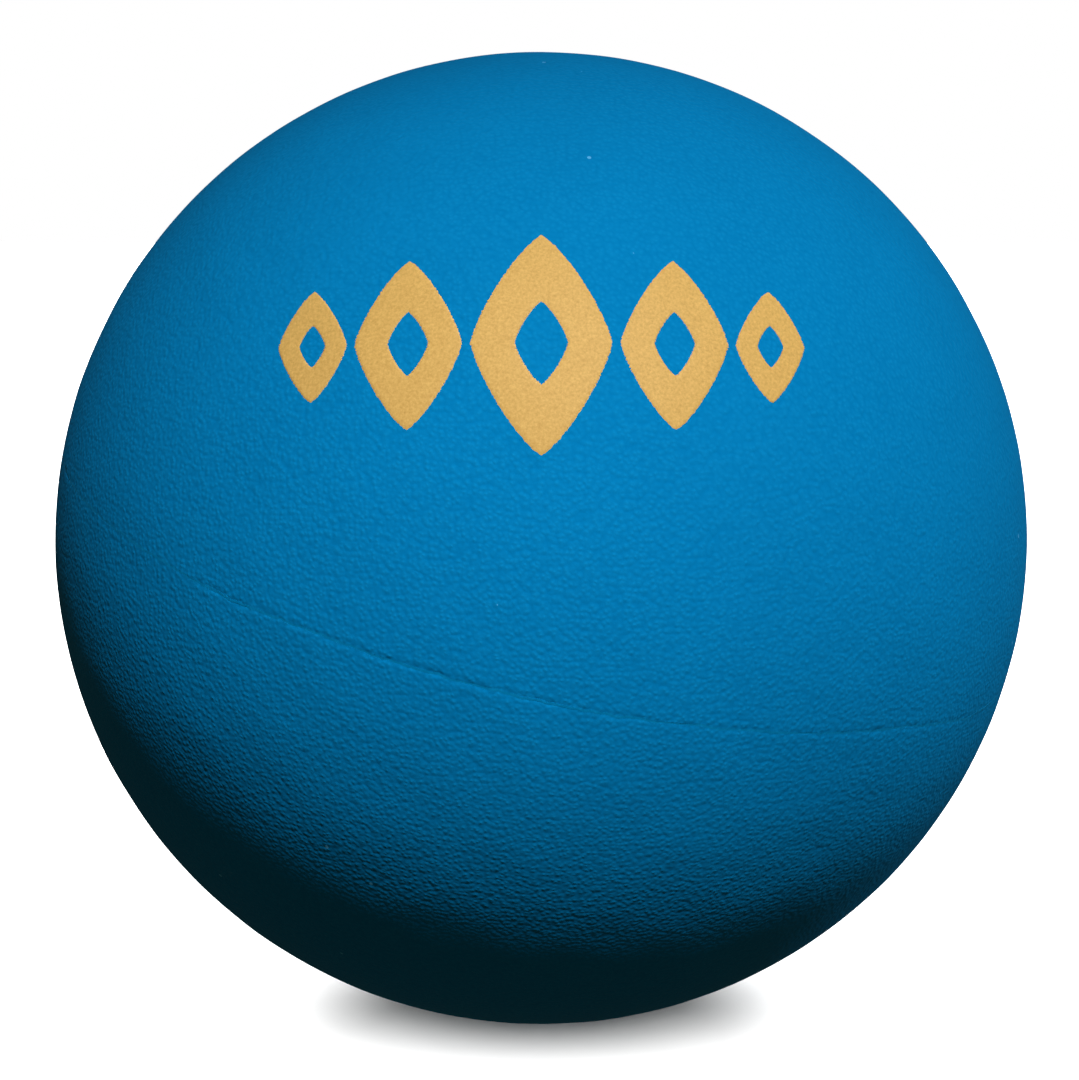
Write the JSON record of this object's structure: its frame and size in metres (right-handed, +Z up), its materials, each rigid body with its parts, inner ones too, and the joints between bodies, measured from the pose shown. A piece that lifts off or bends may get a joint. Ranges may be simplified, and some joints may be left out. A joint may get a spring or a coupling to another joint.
{
  "type": "racquetball",
  "caption": "Hollow court ball of blue rubber, moulded as half shells that are cemented edge to edge at a fine seam, with a gold printed mark of lozenges.",
  "frame": {"origin": "the ball's centre", "axes": "+Z up as the ball lies on a flat surface; -Y towards the printed side; +X to the right of a person facing the print. The seam is a great circle through the middle, its plane's normal leaning 13.5 degrees from +Z to +X and 7.7 degrees towards -Y"},
  "size_m": [0.0572, 0.0572, 0.0572],
  "materials": {
    "blue_rubber": "matte",
    "seam_cement": "matte",
    "gold_ink": "satin"
  },
  "bodies": {
    "root": {"upper_half_shell": "blue_rubber", "lower_half_shell": "blue_rubber", "seam_cement": "seam_cement", "printed_lozenge_centre": "gold_ink", "printed_lozenge_inner_left": "gold_ink", "printed_lozenge_inner_right": "gold_ink", "printed_lozenge_outer_left": "gold_ink", "printed_lozenge_outer_right": "gold_ink"}
  },
  "joints": []
}
